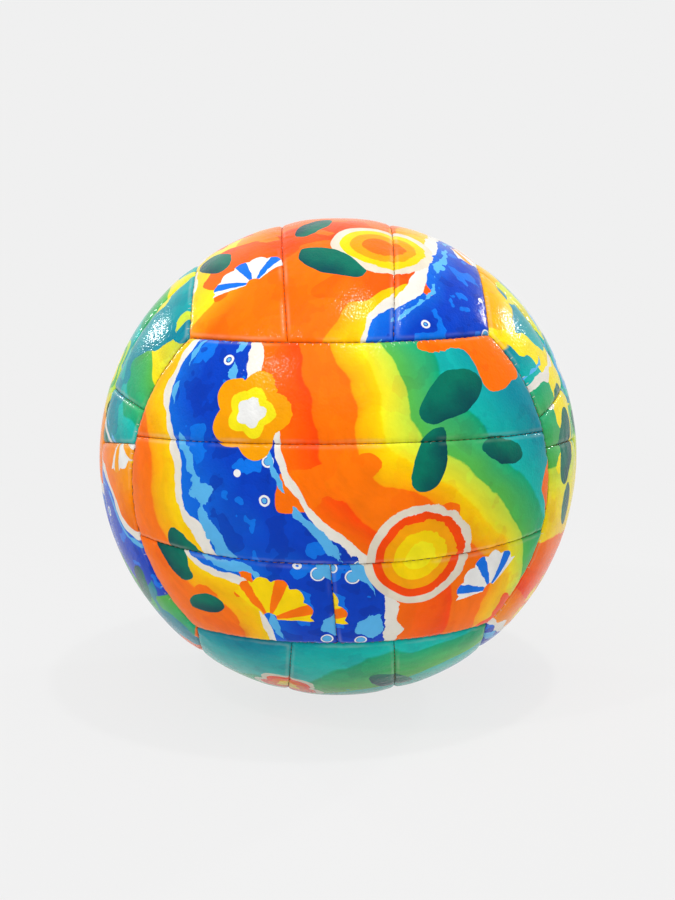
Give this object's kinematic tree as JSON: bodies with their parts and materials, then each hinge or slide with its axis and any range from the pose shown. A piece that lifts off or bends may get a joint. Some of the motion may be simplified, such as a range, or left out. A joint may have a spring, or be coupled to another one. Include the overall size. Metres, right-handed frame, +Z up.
{
  "type": "volleyball",
  "caption": "Stitched volleyball with a padded strip-panel cover over an inflated bladder, with a recessed needle valve in the middle of its back.",
  "frame": {"origin": "centre of the ball", "axes": "+Z up; -Y towards the front face as pictured; +Y out of the valve; +X to the right as seen from the front"},
  "size_m": [0.213, 0.2129, 0.213],
  "materials": {
    "print_orange": "satin",
    "print_red_orange": "satin",
    "print_yellow": "satin",
    "print_blue": "satin",
    "print_teal": "satin",
    "print_green": "satin",
    "foam": "matte",
    "lining": "matte",
    "thread": "matte",
    "butyl": "satin",
    "valve_rubber": "satin"
  },
  "bodies": {
    "root": {"front_upper_cover": "print_orange", "front_middle_cover": "print_red_orange", "front_lower_left_cover": "print_yellow", "front_lower_right_cover": "print_blue", "back_upper_cover": "print_green", "back_middle_cover": "print_yellow", "back_lower_cover": "print_orange", "top_right_cover": "print_orange", "top_middle_cover": "print_red_orange", "top_left_cover": "print_yellow", "bottom_right_cover": "print_teal", "bottom_middle_cover": "print_teal", "bottom_left_cover": "print_green", "left_front_upper_cover": "print_teal", "left_front_middle_cover": "print_blue", "left_front_lower_cover": "print_orange", "left_middle_cover": "print_green", "left_back_cover": "print_green", "right_front_upper_cover": "print_green", "right_front_middle_cover": "print_yellow", "right_front_lower_cover": "print_blue", "right_middle_cover": "print_green", "right_back_cover": "print_teal", "front_upper_foam": "foam", "front_middle_foam": "foam", "front_lower_left_foam": "foam", "front_lower_right_foam": "foam", "back_upper_foam": "foam", "back_middle_foam": "foam", "back_lower_foam": "foam", "top_right_foam": "foam", "top_middle_foam": "foam", "top_left_foam": "foam", "bottom_right_foam": "foam", "bottom_middle_foam": "foam", "bottom_left_foam": "foam", "left_front_upper_foam": "foam", "left_front_middle_foam": "foam", "left_front_lower_foam": "foam", "left_middle_foam": "foam", "left_back_foam": "foam", "right_front_upper_foam": "foam", "right_front_middle_foam": "foam", "right_front_lower_foam": "foam", "right_middle_foam": "foam", "right_back_foam": "foam", "front_lining": "lining", "back_lining": "lining", "top_lining": "lining", "bottom_lining": "lining", "left_lining": "lining", "right_lining": "lining", "face_seam_thread": "thread", "strip_seam_thread": "thread", "bladder": "butyl", "valve_housing": "valve_rubber", "valve_core": "valve_rubber", "valve_hole_patch": "lining"}
  },
  "joints": []
}
